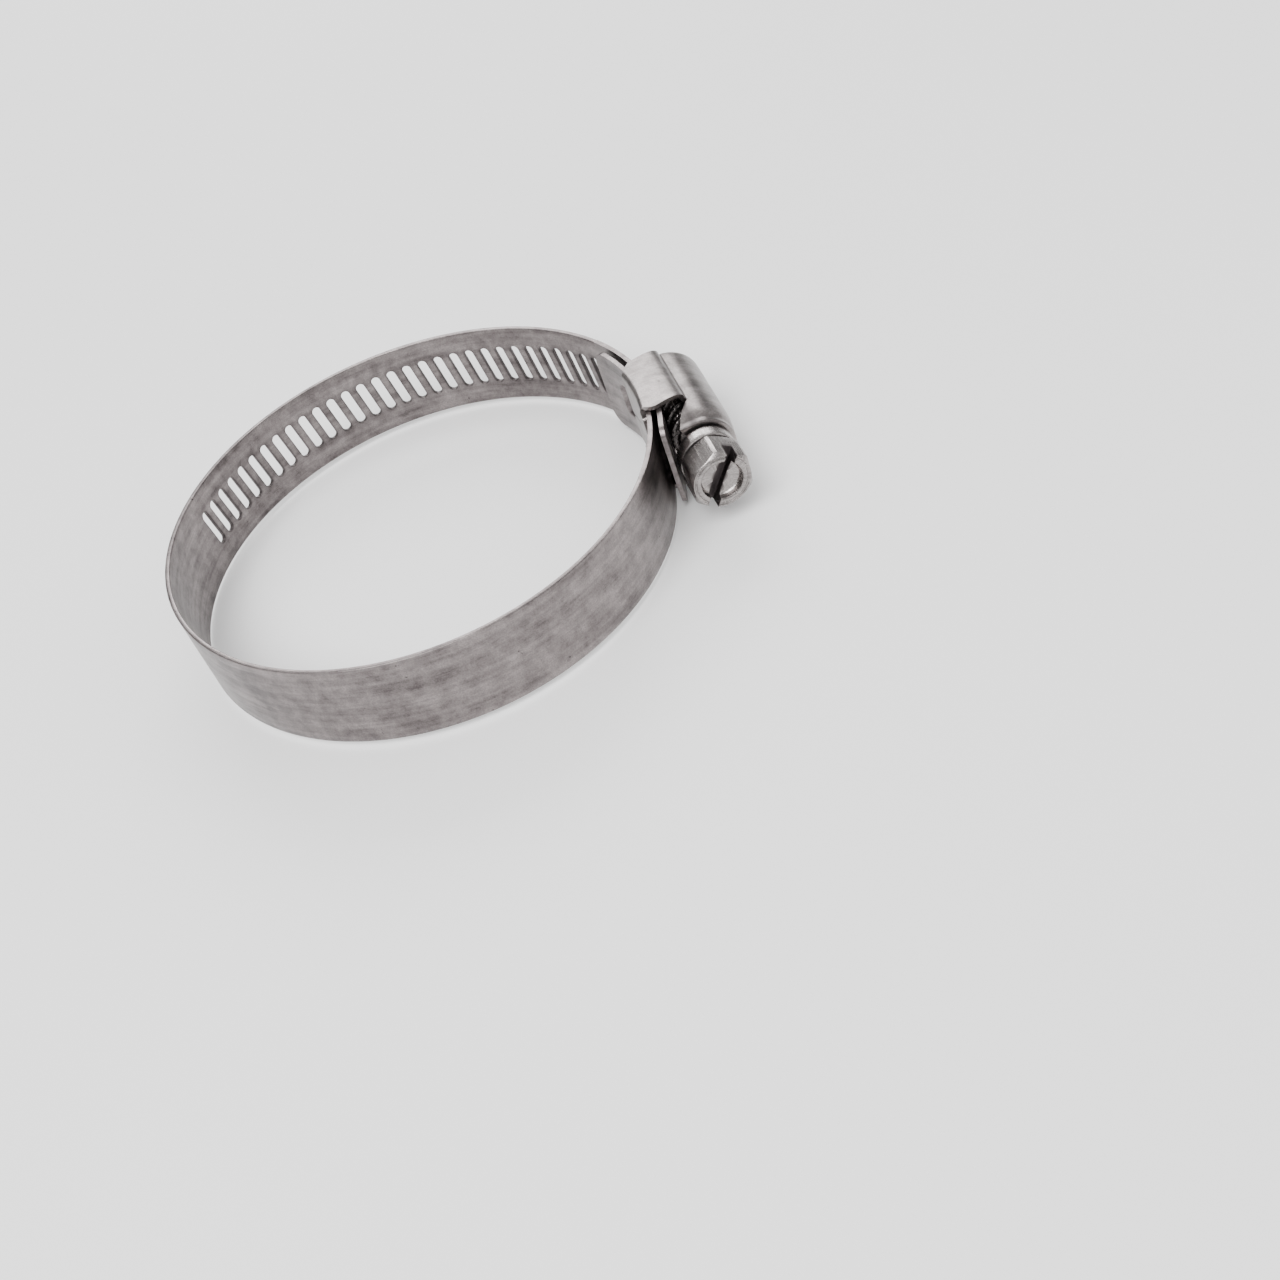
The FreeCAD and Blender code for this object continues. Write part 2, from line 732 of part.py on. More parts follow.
def build():
    """Every piece of the clamp, in the order in which the band runs."""
    arcs, tail_arc = route()
    pieces = [make_housing(), make_anchor()]
    slots = [0] * PLAIN_LINKS + [FIRST_SLOTS] + [int(size("link_slots"))] * PERFORATED_LINKS
    for number, (arc, count) in enumerate(zip(arcs, slots), start=1):
        pieces.append(make_link(f"band_link_{number:02d}", arc, count))
    pieces.append(make_tail(tail_arc))
    pieces.append(make_screw(tail_arc))
    outward = Placement(Vector(size("hose_offset"), 0, 0), Rotation())
    for piece in pieces:
        piece.Placement = outward * piece.Placement
    return pieces


pieces = build()
doc.recompute()

faults = [part.Name for part in doc.Objects if {"Invalid", "Error"} & set(part.State)]
if faults:
    raise RuntimeError(f"objects that failed: {faults}")
os.makedirs("parts", exist_ok=True)
for piece in pieces:
    shape = piece.Shape
    if shape.isNull() or not shape.isValid() or len(shape.Solids) != 1:
        raise RuntimeError(f"{piece.Label} isn't one valid solid")
    shape.exportStep(f"parts/{piece.Label}.step")
    print(f"{piece.Label}: {shape.Volume:.2f} mm3")
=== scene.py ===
"""The looks of a worm-drive hose clamp: a springy perforated band, its formed housing and its screw.

Lengths here are in millimetres until a mesh is made, and metres after that. Along the band, "along"
is the distance from the first hinge at mid-thickness, "across" is the height, and "depth" is how far
a point lies outside the band's inner face.
"""

import json
import math

import bmesh
import bpy
import numpy as np
from mathutils import Matrix, Vector


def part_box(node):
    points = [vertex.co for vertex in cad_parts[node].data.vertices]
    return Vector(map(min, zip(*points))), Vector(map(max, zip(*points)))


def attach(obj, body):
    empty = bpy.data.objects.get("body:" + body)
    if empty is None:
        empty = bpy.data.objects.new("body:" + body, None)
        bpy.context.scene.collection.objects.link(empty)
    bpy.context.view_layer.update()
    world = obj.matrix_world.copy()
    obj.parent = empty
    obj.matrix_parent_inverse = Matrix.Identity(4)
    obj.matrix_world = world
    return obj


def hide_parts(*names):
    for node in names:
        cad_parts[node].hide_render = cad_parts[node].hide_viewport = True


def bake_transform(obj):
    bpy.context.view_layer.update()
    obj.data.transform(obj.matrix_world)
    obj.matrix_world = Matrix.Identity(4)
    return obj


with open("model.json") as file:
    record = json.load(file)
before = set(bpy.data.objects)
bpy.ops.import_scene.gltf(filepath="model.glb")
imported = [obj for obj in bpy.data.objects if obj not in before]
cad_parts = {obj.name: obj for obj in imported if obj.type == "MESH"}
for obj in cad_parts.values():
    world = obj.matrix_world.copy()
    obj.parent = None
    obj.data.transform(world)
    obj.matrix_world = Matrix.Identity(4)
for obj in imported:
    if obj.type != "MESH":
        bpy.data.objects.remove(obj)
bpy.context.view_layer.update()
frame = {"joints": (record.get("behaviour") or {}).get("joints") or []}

MM = 0.001
TURN = 2 * math.pi

# ---------------------------------------------------------------- sizes, in millimetres

RING_CENTRE = np.array([0.66, 0.0])  # centre of the band's spiral, seen from above
BAND_WIDTH = 12.7
BAND_THICK = 0.65
LAYER_RISE = 1.45  # how much further out the band runs after one turn
LINER_LENGTH = 25.0  # the fixed length, on its inner face
LINER_BEHIND = 14.0  # the part of it that lies behind the housing's middle
LINER_CORNER = 2.4
SLOT_PITCH = 2.54
SLOT_WIDTH = 1.35
SLOT_LENGTH = 6.3
SLOT_SLANT = math.radians(8)
LINK_PITCHES = 6
SLOT_COUNT = 40
TAIL_EXIT = 8.0  # where the tail leaves the ring's curve, from the housing's middle
TAIL_REACH = 11.0
TAIL_CORNER = 1.5
BAND_EDGE = 0.11  # rounding of sheared edges
SLOT_RIM = 0.34  # width of the painted shade along a slot's pressed rim

STEP_DEPTH = 0.55  # the pocket pressed into the first layer
STEP_BACK, STEP_FRONT = -8.9, 9.9
STEP_HALF_BACK, STEP_HALF_FRONT = 2.45, 3.25

SHEET = 0.62  # a little under the solid housing's thickness, so that its dents stay clear of the band
AXIS_LEVEL = 5.0  # the screw's axis above the first layer's inner face
CROWN_RADIUS = 5.15
WING_SIDE = 7.12
WING_HALF = 6.1
TAB_HALF = 4.7
TAB_SLIDE = 0.3  # how far the tabs' middle lies towards the head
WING_SLIDE = 1.7  # how far the valley's middle lies towards the tip
TAB_LEVEL = -0.75
SHOULDER_LEVEL = 5.25
SHOULDER_ROUND = 1.5
SHOULDER_FALL = 3.6  # how far down the wing's side its rounding reaches
FOLD_ROUND = 0.84
VALLEY_ROUND = 0.45
VALLEY_TURN = math.asin((SHOULDER_LEVEL + VALLEY_ROUND - AXIS_LEVEL) / CROWN_RADIUS)
SEAM_HALF = 0.06
TAB_CORNER = 0.4
NOTCH_PLACE, NOTCH_RADIUS = 5.2, 0.55
HOUSING_BEVEL = 0.11
DENT, RIPPLE = 0.018, 0.007  # unevenness of the sheet: broad, and along the screw
SETTLE = 0.038  # how far the sheet is drawn inward, so that its dents stay inside the solid's box

CORE_RADIUS = 2.4
CREST_RADIUS = 3.4
RIDGE_ROOT, RIDGE_CREST = 1.0, 0.4
THREAD_END = 8.0
SCREW_TIP = -12.2
COLLAR = (10.1, 12.3)
COLLAR_RADIUS = 4.1
GROOVE_RADIUS = 3.5
HEX_START = 12.6
HEX_FLATS = 7.94
HEX_CORNER = 4.45
HEX_TURN = math.radians(27)
HEAD_FACE = 17.4
FACE_RADIUS = 3.92
RECESS_RADIUS = 2.82
RECESS_DEPTH = 1.15
RIM = [  # the two rings of the head's face: radius, depth below the face
    (FACE_RADIUS, 0.0),
    (3.8, 0.02),
    (3.66, 0.14),
    (3.56, 0.16),
    (3.44, 0.05),
    (3.34, 0.0),
    (3.16, 0.0),
    (3.0, 0.05),
]
DRIVER_WIDTH, DRIVER_DEPTH = 1.45, 2.3
DRIVER_TURN = math.radians(57)
DRIVER_EDGE = 0.15  # rounding inside the driver slot
HEAD_EDGE = 0.07
WORM_PLAY = 0.03  # how far the ridge sits from its slot's middle, towards the head

LINK = LINK_PITCHES * SLOT_PITCH


# ---------------------------------------------------------------- the band's route


def heading_of(angle):
    """The direction in which the band runs where it is at an angle round its arc's centre."""
    return np.array([math.sin(angle), -math.cos(angle)])


class Route:
    """The line of the band's inner face, as arcs tangent to one another and a straight tail."""

    def __init__(self, hinges):
        ring_radius = np.linalg.norm(hinges[0] - RING_CENTRE)
        start = math.atan2(*(hinges[0] - RING_CENTRE)[::-1])
        self.ring_radius = ring_radius
        self.liner = -LINER_LENGTH * (1 + BAND_THICK / 2 / ring_radius)
        self.arcs = [(self.liner, 0.0, RING_CENTRE, ring_radius, start)]
        heading, along = heading_of(start), 0.0
        for point, target in zip(hinges, hinges[1:]):
            inward = np.array([heading[1], -heading[0]])
            chord = target - point
            radius = chord @ chord / (2 * chord @ inward)
            centre = point + inward * radius
            turned = 2 * math.asin(np.linalg.norm(chord) / 2 / radius)
            angle = math.atan2(*(point - centre)[::-1])
            length = turned * (radius + BAND_THICK / 2)
            self.arcs.append((along, along + length, centre, radius, angle))
            heading, along = heading_of(angle - turned), along + length
        radius = ring_radius + LAYER_RISE
        point = hinges[-1]
        centre = point + np.array([heading[1], -heading[0]]) * radius
        angle = math.atan2(*(point - centre)[::-1])
        exit_angle = -math.asin(TAIL_EXIT / radius)
        length = (angle - exit_angle) * (radius + BAND_THICK / 2)
        self.arcs.append((along, along + length, centre, radius, angle))
        self.tail_start, self.exit = along, along + length
        self.exit_heading = heading_of(exit_angle)
        self.end = self.exit + (TAIL_REACH - TAIL_EXIT) / math.cos(exit_angle)

    def place(self, along, across, depth):
        """Points in the frame, in metres, for arrays of distances along, across and deep."""
        along, across, depth = (np.asarray(x, float) for x in (along, across, depth))
        out = np.zeros(along.shape + (3,))
        for number, (low, high, centre, radius, angle) in enumerate(self.arcs):
            here = along >= low if number else along < high
            turned = angle - (along[here] - (low if number else high)) / (radius + BAND_THICK / 2)
            reach = radius + depth[here]
            out[here, 0] = centre[0] + reach * np.cos(turned)
            out[here, 1] = centre[1] + reach * np.sin(turned)
        straight = along > self.exit
        low, high, centre, radius, angle = self.arcs[-1]
        turned = angle - (high - low) / (radius + BAND_THICK / 2)
        outward = np.array([math.cos(turned), math.sin(turned)])
        beyond = (along[straight] - self.exit)[:, None] * self.exit_heading
        out[straight, :2] = centre + (radius + depth[straight])[:, None] * outward + beyond
        out[..., 2] = across
        return out * MM

    def point(self, along):
        """A point on the band's inner face, half way up."""
        return tuple(self.place([along], [0.0], [0.0])[0])


def joint_point(name):
    joint = next(joint for joint in frame["joints"] if joint["name"] == name)
    return np.array(joint["pos_m"][:2]) / MM


hinges = [joint_point(f"band_bend_{number:02d}") for number in range(1, 15)]
route = Route(hinges)
screw_axis = joint_point("screw_spin")
first_slot = 7.5 * LINK


# ---------------------------------------------------------------- meshes


def vary(points, scale, seed):
    """Smooth repeatable wander in -1..1 at each point: a few sines in fixed directions."""
    generator = np.random.default_rng(seed)
    total = np.zeros(len(points))
    for _ in range(6):
        direction = generator.normal(size=points.shape[1])
        total += np.sin(points @ direction / scale + generator.uniform(0, TURN))
    return total / 6


def make_object(name, bm, sharp_degrees=35):
    """A mesh object from bmesh, smooth but for edges sharper than an angle."""
    mesh = bpy.data.meshes.new(name)
    bm.to_mesh(mesh)
    bm.free()
    mesh.shade_smooth()
    mesh.set_sharp_from_angle(angle=math.radians(sharp_degrees))
    made = bpy.data.objects.new(name, mesh)
    bpy.context.scene.collection.objects.link(made)
    return made


def sharp_edges(bm, degrees, wanted=lambda edge: True):
    limit = math.radians(degrees)
    return [
        edge
        for edge in bm.edges
        if edge.is_manifold and edge.calc_face_angle(0) > limit and wanted(edge)
    ]


def soften(bm, edges, width, segments=2, clamp=True):
    """Round edges off; if clamped, the shortest edge limits the rounding of all of them."""
    bmesh.ops.bevel(
        bm,
        geom=edges,
        offset=width,
        offset_type="OFFSET",
        segments=segments,
        profile=0.5,
        affect="EDGES",
        clamp_overlap=clamp,
    )
    bmesh.ops.dissolve_degenerate(bm, edges=bm.edges, dist=width / 50)


def face_outward(bm):
    """Turn every face of a closed mesh outward, all together."""
    bmesh.ops.recalc_face_normals(bm, faces=bm.faces)
    if bm.calc_volume(signed=True) < 0:
        bmesh.ops.reverse_faces(bm, faces=bm.faces)


def order_faces(bm):
    """Sort faces by where they lie, so that they come in the same order on every run."""

    def place(face):
        return tuple(round(c, 5) for c in face.calc_center_median())

    for rank, face in enumerate(sorted(bm.faces, key=place)):
        face.index = rank
    bm.faces.sort()


class FlatBand:
    """A stretch of band before it is bent: quads of (along, across, depth)."""

    def __init__(self):
        self.faces = []
        self.walled = False

    def strip(self, first, second, closed=False):
        count = len(first) - (0 if closed else 1)
        for i in range(count):
            j = (i + 1) % len(first)
            self.faces.append((first[i], first[j], second[j], second[i]))

    def plain(self, alongs, half, lines, press=None):
        """Both faces and both edges of an unslotted stretch; half gives its half width along it."""
        levels = np.linspace(-1, 1, lines + 1)
        for low, high in zip(alongs, alongs[1:]):
            rows = [[(a, v * half(a)) for v in levels] for a in (low, high)]
            for depth in (0.0, BAND_THICK):
                lifted = [
                    [(a, z, depth + (press(a, z) if press else 0.0)) for a, z in row] for row in rows
                ]
                self.strip(*lifted)
            for side in (0, -1):
                ends = [row[side] for row in rows]
                lifts = [press(a, z) if press else 0.0 for a, z in ends]
                inner = [(a, z, lift) for (a, z), lift in zip(ends, lifts)]
                outer = [(a, z, lift + BAND_THICK) for (a, z), lift in zip(ends, lifts)]
                self.strip(inner, outer)

    def end_wall(self, along, half, lines):
        self.walled = True
        levels = np.linspace(-1, 1, lines + 1)
        self.strip(
            [(along, v * half(along), 0.0) for v in levels],
            [(along, v * half(along), BAND_THICK) for v in levels],
        )

    def slotted(self, middle, lines):
        """One pitch of band round a slot whose middle is given."""
        half, ends = BAND_WIDTH / 2, 8
        side = np.linspace(-half, half, lines + 1)
        top = np.linspace(-SLOT_PITCH / 2, SLOT_PITCH / 2, ends + 1)
        border = [(x, -half) for x in top[:-1]] + [(top[-1], z) for z in side[:-1]]
        border += [(-x, -z) for x, z in border]

        def stadium(offset):
            radius = SLOT_WIDTH / 2 + offset
            reach = (SLOT_LENGTH - SLOT_WIDTH) / 2
            turns = np.linspace(math.pi, TURN, ends + 1)[:-1]
            low = [(radius * math.cos(t), radius * math.sin(t) - reach) for t in turns]
            low += [(radius, z) for z in np.linspace(-reach, reach, lines + 1)[:-1]]
            loop = low + [(-x, -z) for x, z in low]
            cos, sin = math.cos(SLOT_SLANT), math.sin(SLOT_SLANT)
            return [(x * cos - z * sin, x * sin + z * cos) for x, z in loop]

        near = stadium(0.2)
        between = [((x + u) / 2, (z + v) / 2) for (x, z), (u, v) in zip(border, near)]
        loops = [border, between, near, stadium(0.0)]
        for depth in (BAND_THICK, 0.0):
            raised = [[(middle + x, z, depth) for x, z in loop] for loop in loops]
            for first, second in zip(raised, raised[1:]):
                self.strip(first, second, closed=True)
        contour = loops[-1]
        self.strip(
            [(middle + x, z, BAND_THICK) for x, z in contour],
            [(middle + x, z, 0.0) for x, z in contour],
            closed=True,
        )
        for edge in (-half, half):
            self.strip(
                [(middle + x, edge, 0.0) for x in top], [(middle + x, edge, BAND_THICK) for x in top]
            )

    def build(self, name, painted_shade):
        """Merge, round the sheared edges, close the cut ends and bend along the route."""
        bm = bmesh.new()
        for face in self.faces:
            bm.faces.new([bm.verts.new(point) for point in face])
        bmesh.ops.remove_doubles(bm, verts=bm.verts, dist=1e-4)
        bmesh.ops.recalc_face_normals(bm, faces=bm.faces)
        soften(bm, sharp_edges(bm, 60), BAND_EDGE, 3, clamp=self.walled)
        cut = [edge for edge in bm.edges if edge.is_boundary]
        if cut:
            bmesh.ops.holes_fill(bm, edges=cut, sides=0)
        order_faces(bm)
        bmesh.ops.recalc_face_normals(bm, faces=bm.faces)
        flat = np.array([vertex.co[:] for vertex in bm.verts])
        bent = route.place(*flat.T)
        for vertex, point in zip(bm.verts, bent):
            vertex.co = point
        face_outward(bm)
        made = make_object(name, bm, 50)
        describe(made, flat * MM, painted_shade(flat))
        return made


def describe(made, surface, painted_shade):
    """Store where each point lies on the metal's own surface, in metres, and how much painted shade it
    gets.
    """
    place = made.data.attributes.new("surface", "FLOAT_VECTOR", "POINT")
    place.data.foreach_set("vector", np.asarray(surface, np.float32).ravel())
    shade_layer = made.data.attributes.new("painted_shade", "FLOAT", "POINT")
    shade_layer.data.foreach_set("value", np.asarray(painted_shade, np.float32))


# ---------------------------------------------------------------- the band


def slot_rim_shade(flat):
    """Painted shade along the slots' pressed rims, from 0 to 1."""
    along, across = flat[:, 0], flat[:, 1]
    number = np.clip(np.floor((along - first_slot) / SLOT_PITCH), 0, SLOT_COUNT - 1)
    x = along - (first_slot + (number + 0.5) * SLOT_PITCH)
    cos, sin = math.cos(SLOT_SLANT), math.sin(SLOT_SLANT)
    turned_x, turned_z = x * cos + across * sin, across * cos - x * sin
    reach = (SLOT_LENGTH - SLOT_WIDTH) / 2
    beyond = turned_z - np.clip(turned_z, -reach, reach)
    gap = np.hypot(turned_x, beyond) - SLOT_WIDTH / 2
    return np.clip(1 - gap / SLOT_RIM, 0, 1) ** 1.5


def smooth_step(value):
    value = np.clip(value, 0, 1)
    return value * value * (3 - 2 * value)


def press_lift(along, across):
    """How far the first layer is pressed outward, in a pocket that is rounded at the head's side."""
    from_middle = along - route.liner * (1 - LINER_BEHIND / LINER_LENGTH)
    middle, reach = (STEP_FRONT + STEP_BACK) / 2, (STEP_FRONT - STEP_BACK) / 2
    forward = smooth_step((from_middle - STEP_BACK) / (STEP_FRONT - STEP_BACK))
    half = STEP_HALF_BACK + (STEP_HALF_FRONT - STEP_HALF_BACK) * forward
    corner = 0.5 + (half - 0.6) * forward
    dx = abs(from_middle - middle) - (reach - corner)
    dz = abs(across) - (half - corner)
    outside = math.hypot(max(dx, 0), max(dz, 0)) + min(max(dx, dz), 0) - corner
    return STEP_DEPTH * float(smooth_step(0.5 - outside / 0.7))


def make_band():
    """The band in overlapping lengths, each from the middle of one rigid length to the next."""
    width = BAND_WIDTH / 2
    borders = [LINK * (number + 0.5) for number in range(13)]
    pieces = []

    def full(along):
        return width

    def unshaded(flat):
        return 0 * flat[:, 0]

    def liner_half(along):
        short = LINER_CORNER - min(along - route.liner, LINER_CORNER)
        return width - LINER_CORNER + math.sqrt(LINER_CORNER**2 - short**2)

    def tail_half(along):
        short = TAIL_CORNER - min(route.end - along, TAIL_CORNER)
        return width - TAIL_CORNER + math.sqrt(TAIL_CORNER**2 - short**2)

    liner = FlatBand()
    rounded = [route.liner + LINER_CORNER * (1 - math.cos(t)) for t in np.linspace(0, math.pi / 2, 13)]
    alongs = rounded + list(np.arange(rounded[-1] + 0.25, 0.0, 0.25)) + [0.0]
    alongs += list(np.linspace(0.0, borders[0] - 0.1, 8)[1:]) + [borders[0]]
    liner.plain(alongs, liner_half, 48, press_lift)
    liner.end_wall(route.liner, liner_half, 48)
    pieces.append(liner.build("band_liner", unshaded))

    last_slot = first_slot + SLOT_COUNT * SLOT_PITCH
    for number in range(13):
        stretch = FlatBand()
        low = borders[number]
        high = borders[number + 1] if number < 12 else last_slot
        along = low
        plain = []
        while along < high - 1e-6:
            if along > first_slot - 1e-6:
                stretch.slotted(along + SLOT_PITCH / 2, 12)
            else:
                near_cut = along in (low, high - SLOT_PITCH)
                steps = np.linspace(along, along + SLOT_PITCH, 3)
                plain += [] if plain else [steps[0]]
                plain += ([along + 0.1] if near_cut and len(plain) == 1 else []) + list(steps[1:])
            along += SLOT_PITCH
        if plain:
            if abs(plain[-1] - high) < 1e-6:
                plain.insert(-1, high - 0.1)
            stretch.plain(plain, full, 12)
        if number == 12:
            tip = [route.end - TAIL_CORNER * (1 - math.cos(t)) for t in np.linspace(math.pi / 2, 0, 9)]
            stretch.plain([last_slot, (last_slot + tip[0]) / 2] + tip, tail_half, 12)
            stretch.end_wall(route.end, tail_half, 12)
        name = "band_tail_strip" if number == 12 else f"band_strip_{number + 1:02d}"
        # Slotted lengths get painted shade along their slots' rims; the rest get none.
        painted_shade = slot_rim_shade if high > first_slot else unshaded
        pieces.append(stretch.build(name, painted_shade))

    for number, piece in enumerate(pieces):
        hinge = number * LINK
        route.point(hinge - LINK / 2)
        route.point(hinge + LINK / 2)
        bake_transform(piece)
        nodes = ["band_anchor"] if number == 0 else [f"band_link_{number:02d}"]
        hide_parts(*nodes, *(["band_tail"] if number == 13 else []))
    return pieces


# ---------------------------------------------------------------- the housing


def arc_points(centre, radius, start, end, count):
    """Points on an arc of the housing's section, as (across, level)."""
    return [
        (centre[0] + radius * math.cos(t), centre[1] + radius * math.sin(t))
        for t in np.linspace(start, end, count + 1)
    ]


def wing_section():
    """Half the housing's outer section, from the seam round the fold and up to the valley."""
    fold = WING_SIDE - FOLD_ROUND
    shoulder = WING_SIDE - SHOULDER_ROUND
    side_end = SHOULDER_LEVEL - SHOULDER_FALL
    valley = CROWN_RADIUS * math.cos(VALLEY_TURN) + VALLEY_ROUND
    quarter = math.pi / 2
    path = [(across, TAB_LEVEL) for across in np.linspace(SEAM_HALF, 4.5, 12)]
    path += [(across, TAB_LEVEL) for across in np.linspace(4.6, 5.8, 11)]
    path += arc_points((fold, TAB_LEVEL + FOLD_ROUND), FOLD_ROUND, -quarter, 0, 8)
    path += [(WING_SIDE, level) for level in np.linspace(TAB_LEVEL + FOLD_ROUND, side_end, 5)[1:-1]]
    path += [
        (shoulder + SHOULDER_ROUND * math.cos(t), side_end + SHOULDER_FALL * math.sin(t))
        for t in np.linspace(0, quarter, 17)
    ]
    path += arc_points((valley, SHOULDER_LEVEL + VALLEY_ROUND), VALLEY_ROUND, -quarter, -math.pi, 5)
    return path


def wing_ends(across, level):
    """Where the housing ends along the screw, at a place on its section: (tip's side, head's side)."""
    risen = min(1.0, (level - TAB_LEVEL) / (SHOULDER_LEVEL - TAB_LEVEL))
    if level < TAB_LEVEL + 0.01:
        corner = max(0.0, TAB_CORNER - (across - SEAM_HALF))
        reach = TAB_HALF - TAB_CORNER + math.sqrt(max(0.0, TAB_CORNER**2 - corner**2))
        notch = NOTCH_RADIUS**2 - (across - NOTCH_PLACE) ** 2
        reach -= math.sqrt(notch) if notch > 0 else 0.0
        middle = TAB_SLIDE
    else:
        spread = float(smooth_step((level - TAB_LEVEL) / 2.2))
        reach = TAB_HALF + (WING_HALF - TAB_HALF) * spread
        middle = TAB_SLIDE - (TAB_SLIDE + WING_SLIDE) * risen**1.3
    return middle - reach, middle + reach


def bowed(level, y):
    """The height above the spiral's centre: low down, the housing follows the band's curve."""
    flat = route.ring_radius + level
    bow = math.sqrt(flat**2 - y**2) - flat
    return flat + bow * float(1 - smooth_step((level - 0.3) / 2.4))


HEAD_HOOD = [  # along the screw, radius, lowest level of the skirt
    (4.9, 5.15, 5.1),
    (5.4, 5.14, 4.75),
    (6.0, 5.12, 4.4),
    (6.6, 5.08, 4.0),
    (7.2, 5.01, 3.7),
    (7.7, 4.92, 3.45),
    (8.15, 4.8, 3.25),
    (8.5, 4.68, 3.1),
    (8.8, 4.62, 2.98),
    (9.1, 4.65, 2.88),
    (9.35, 4.69, 2.8),
    (9.55, 4.66, 2.74),
    (9.66, 4.57, 2.72),
    (9.7, 4.42, 2.75),
    (9.7, 4.0, 2.85),
    (9.7, 3.5, 3.1),
    (9.7, 3.0, 3.5),
]
TIP_HOOD = [  # the same on the other side, along the screw towards its tip
    (7.95, 5.14, 5.2),
    (8.15, 5.1, 4.9),
    (8.35, 5.03, 4.6),
    (8.55, 4.92, 4.3),
    (8.75, 4.74, 4.0),
    (8.92, 4.5, 3.7),
    (9.06, 4.2, 3.5),
    (9.16, 3.9, 3.4),
    (9.2, 3.5, 3.4),
]


def make_housing():
    section = wing_section()
    crown_turns = np.linspace(VALLEY_TURN, math.pi - VALLEY_TURN, 37)
    bm = bmesh.new()
    places = {}
    surface = {}

    def vertex(x, across, level, wrap):
        """A vertex x along the screw towards its head; wrap is the distance round the section."""
        key = (round(x, 4), round(across, 4), round(level, 4))
        if key not in places:
            radial = bowed(level, x)
            co = (RING_CENTRE[0] + radial, -x, across)
            places[key] = bm.verts.new(co)
            surface[key] = (x, wrap, 0.0)
        return places[key]

    def lengths(points):
        steps = [0.0] + [math.dist(a, b) for a, b in zip(points, points[1:])]
        return np.cumsum(steps)

    spans = np.linspace(0, 1, 25)
    half_wrap = lengths(section)
    for side in (1, -1):
        for i in range(len(section) - 1):
            for a, b in zip(spans, spans[1:]):
                corners = []
                for (across, level), wrap, t in (
                    (section[i], half_wrap[i], a),
                    (section[i], half_wrap[i], b),
                    (section[i + 1], half_wrap[i + 1], b),
                    (section[i + 1], half_wrap[i + 1], a),
                ):
                    low, high = wing_ends(across, level)
                    x = low + t * (high - low)
                    corners.append(vertex(x, side * across, level, side * (wrap + 40)))
                bm.faces.new(corners)
    back, front = wing_ends(*section[-1])
    middle = [(back + t * (front - back), CROWN_RADIUS) for t in spans]

    def over_crown(x, radius):
        """Points over the crown at a place along the screw."""
        return [
            (x, radius * math.cos(t), AXIS_LEVEL + radius * math.sin(t)) for t in crown_turns
        ]

    rows = [over_crown(x, radius) for x, radius in middle]
    before = [over_crown(-x, radius) for x, radius, _ in reversed(TIP_HOOD)]
    after = [over_crown(x, radius) for x, radius, _ in HEAD_HOOD]
    table = before + rows + after
    for first, second in zip(table, table[1:]):
        for i in range(len(crown_turns) - 1):
            corners = [first[i], second[i], second[i + 1], first[i + 1]]
            wraps = CROWN_RADIUS * crown_turns[[i, i, i + 1, i + 1]]
            bm.faces.new([vertex(*c, w) for c, w in zip(corners, wraps)])
    for hood, sign, start in ((HEAD_HOOD, 1, front), (TIP_HOOD, -1, -back)):
        stations = [(start, CROWN_RADIUS, section[-1][1] - 0.2)] + hood
        for side in (1, -1):
            for pair in zip(stations, stations[1:]):
                for u, v in zip(np.linspace(0, 1, 9), np.linspace(0, 1, 9)[1:]):
                    corners = []
                    for (x, radius, low), t in zip(pair + pair[::-1], (u, u, v, v)):
                        top = AXIS_LEVEL + radius * math.sin(VALLEY_TURN)
                        across = side * radius * math.cos(VALLEY_TURN)
                        corners.append(vertex(sign * x, across, top + (low - top) * t, -t))
                    bm.faces.new(corners)
    bmesh.ops.recalc_face_normals(bm, faces=bm.faces)
    top = max(bm.faces, key=lambda face: face.calc_center_median().x)
    if top.normal.x < 0:
        bmesh.ops.reverse_faces(bm, faces=bm.faces)
    co = np.array([v.co[:] for v in bm.verts])
    along_screw = np.c_[co[:, 1] * 0.35, co[:, 2] * 1.6, co[:, 0] * 1.6]
    wander = vary(co, 1.6, 3) * DENT + vary(along_screw, 0.7, 5) * RIPPLE
    bm.normal_update()
    for v, lift in zip(list(bm.verts), wander):
        v.co += v.normal * float(lift - SETTLE)
    marks = np.array([surface[key] for key in places]) * MM
    layer = bm.verts.layers.float_vector.new("surface")
    for v, mark in zip(bm.verts, marks):
        v[layer] = mark
    for v in bm.verts:
        v.co *= MM
    housing = make_object("clamp_housing", bm, 40)
    solid = housing.modifiers.new("sheet", "SOLIDIFY")
    solid.thickness = SHEET * MM
    solid.offset = -1
    solid.use_even_offset = True
    solid.thickness_clamp = 0
    apply_modifiers(housing)
    bm = bmesh.new()
    bm.from_mesh(housing.data)
    soften(bm, sharp_edges(bm, 55), HOUSING_BEVEL * MM)
    bm.to_mesh(housing.data)
    bm.free()
    housing.data.shade_smooth()
    housing.data.set_sharp_from_angle(angle=math.radians(50))
    # Painted shade in the valleys between the crown and the wings, kept in the shade attribute.
    painted_shade = housing.data.attributes.new("painted_shade", "FLOAT", "POINT")
    co = np.array([v.co[:] for v in housing.data.vertices]) / MM
    level = co[:, 0] - RING_CENTRE[0] - route.ring_radius
    valley = np.exp(-(((np.abs(co[:, 2]) - 4.7) / 0.5) ** 2) - ((level - 4.7) / 0.6) ** 2)
    painted_shade.data.foreach_set("value", valley.astype(np.float32))
    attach(housing, "root")
    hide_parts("housing")
    return housing


def apply_modifiers(made):
    """Bake an object's modifiers into its mesh."""
    graph = bpy.context.evaluated_depsgraph_get()
    mesh = bpy.data.meshes.new_from_object(made.evaluated_get(graph))
    made.modifiers.clear()
    made.data = mesh


# ---------------------------------------------------------------- the screw


